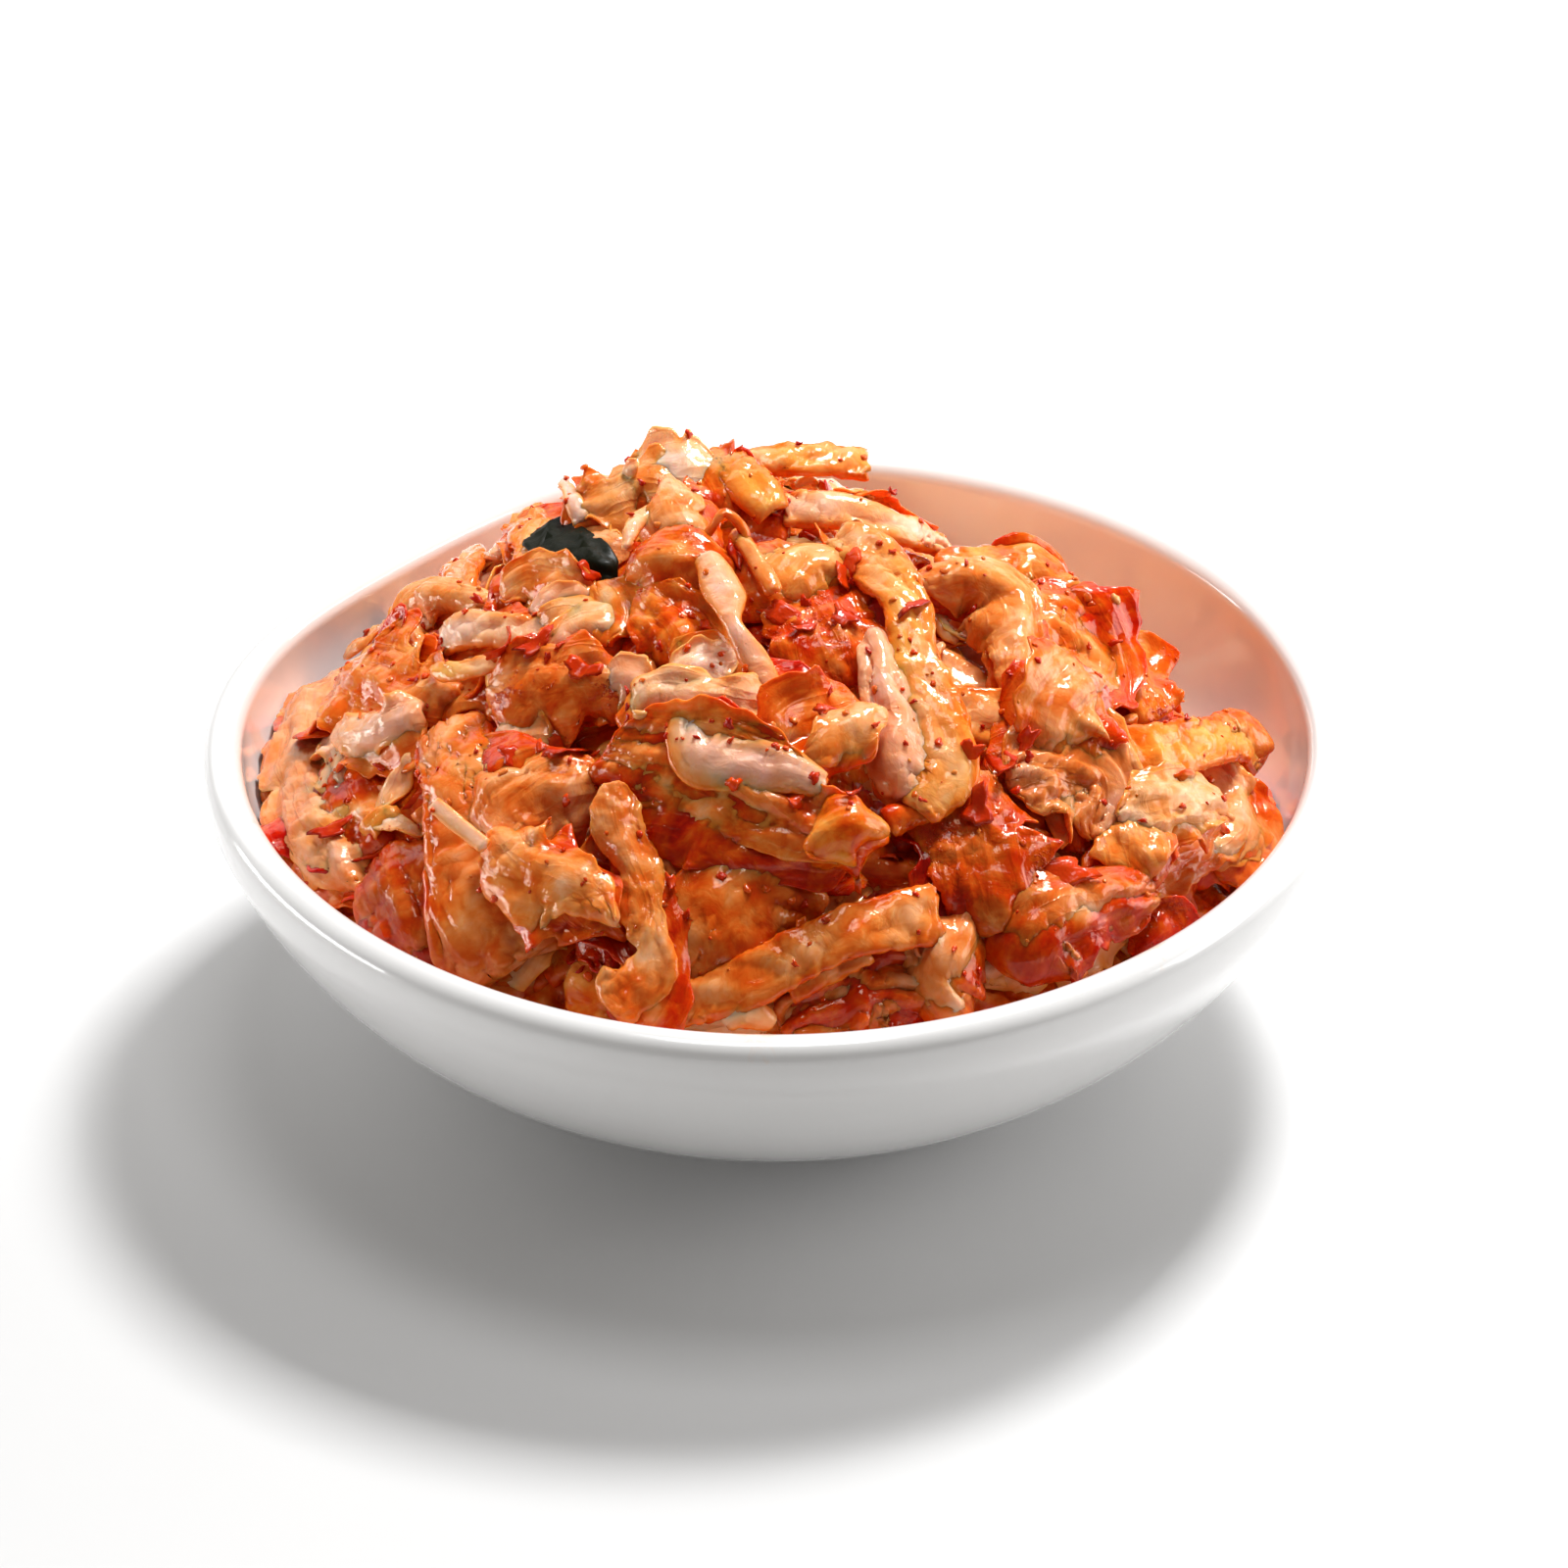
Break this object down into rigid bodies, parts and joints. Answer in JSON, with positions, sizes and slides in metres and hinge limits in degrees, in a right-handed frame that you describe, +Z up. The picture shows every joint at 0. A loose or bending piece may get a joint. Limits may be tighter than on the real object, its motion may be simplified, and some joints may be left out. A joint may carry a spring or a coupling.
{
  "type": "kimchi in a bowl",
  "caption": "Heap of chopped cabbage kimchi with chilli flakes, served in a small low white glazed bowl with a rounded lip and a low foot.",
  "frame": {"origin": "middle of the underside of the bowl's foot, on the table", "axes": "+Z up out of the bowl; -Y is the front, the side seen first; +X to the right of it"},
  "size_m": [0.1194, 0.1196, 0.0619],
  "materials": {
    "glaze": "gloss",
    "cabbage": "gloss"
  },
  "bodies": {
    "root": {"bowl": "glaze", "kimchi": "cabbage"}
  },
  "joints": []
}
